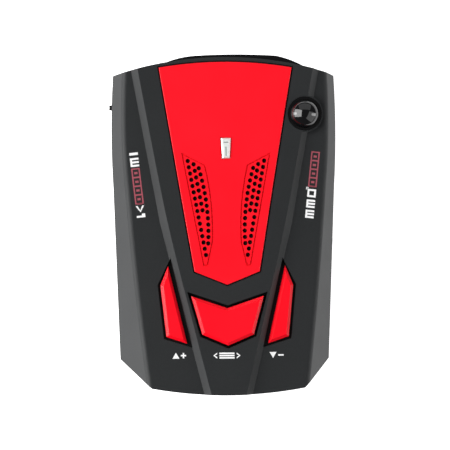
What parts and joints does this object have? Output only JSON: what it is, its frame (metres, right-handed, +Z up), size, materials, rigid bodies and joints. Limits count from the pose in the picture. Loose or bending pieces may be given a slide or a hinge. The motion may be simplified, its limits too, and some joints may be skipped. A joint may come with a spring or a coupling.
{
  "type": "radar detector",
  "caption": "Dash-top radar detector: wedge-shaped black case, red perforated centre panel, three push buttons, round side lens, display window, power slide switch and power inlet.",
  "frame": {"origin": "under the middle of the case, on the surface that the rubber feet stand on", "axes": "+Y towards the road, +X to the driver's right, +Z up"},
  "size_m": [0.0726, 0.1086, 0.03],
  "materials": {
    "case": "fine textured black",
    "red": "gloss red",
    "badge": "bright plated",
    "cloth": "black cloth",
    "black_moulding": "satin black",
    "black_gloss": "gloss black",
    "lens": "gloss black, lets infrared through",
    "board": "green solder mask",
    "tin": "plated sheet",
    "die_cast": "cast",
    "magnet": "ferrite",
    "paper": "paper cone",
    "foam": "foam",
    "steel": "zinc plated",
    "rubber": "matt",
    "label": "blank silver label"
  },
  "bodies": {
    "case": {"top_shell": "case", "bottom_shell": "case", "centre_panel": "red", "badge_insert": "badge", "grille_cloth": "cloth", "switch_bodies": "black_moulding", "dome_lens": "lens", "dome_ring": "black_gloss", "dome_sensor": "black_moulding", "road_window": "lens", "display_window": "lens", "main_board": "board", "microcontroller": "black_moulding", "crystal": "tin", "electrolytic_capacitors": "tin", "voltage_regulator": "black_moulding", "horn_antenna": "die_cast", "rf_board": "board", "shield_can": "tin", "laser_board": "board", "laser_receiver": "lens", "led_display": "black_moulding", "display_board": "board", "display_header": "black_moulding", "speaker_frame": "tin", "speaker_magnet": "magnet", "speaker_gasket": "foam", "speaker_wires": "black_moulding", "slide_switch": "tin", "power_jack": "black_moulding", "case_screws": "steel", "board_screws": "steel", "foot_pads": "rubber", "rating_plate": "label"},
    "up_button": {"up_button_cap": "red", "up_button_base": "black_moulding", "up_switch_plunger": "black_moulding"},
    "menu_button": {"menu_button_cap": "red", "menu_button_base": "black_moulding", "menu_switch_plunger": "black_moulding"},
    "down_button": {"down_button_cap": "red", "down_button_base": "black_moulding", "down_switch_plunger": "black_moulding"},
    "slider": {"power_slider_knob": "black_moulding"},
    "cone": {"speaker_cone": "paper"}
  },
  "joints": [
    {"name": "up_press", "type": "slide", "parent": "case", "child": "up_button", "axis": [0, 0, -1], "range_m": [0, 0.0005], "stiffness_N_per_m": 400, "springref_m": -0.002},
    {"name": "menu_press", "type": "slide", "parent": "case", "child": "menu_button", "axis": [0, 0, -1], "range_m": [0, 0.0005], "stiffness_N_per_m": 400, "springref_m": -0.002},
    {"name": "down_press", "type": "slide", "parent": "case", "child": "down_button", "axis": [0, 0, -1], "range_m": [0, 0.0005], "stiffness_N_per_m": 400, "springref_m": -0.002},
    {"name": "power_slide", "type": "slide", "parent": "case", "child": "slider", "axis": [0, -1, 0], "range_m": [0, 0.002]},
    {"name": "cone_travel", "type": "slide", "parent": "case", "child": "cone", "axis": [0, 0, 1], "range_m": [-0.0004, 0.0004], "stiffness_N_per_m": 500}
  ]
}
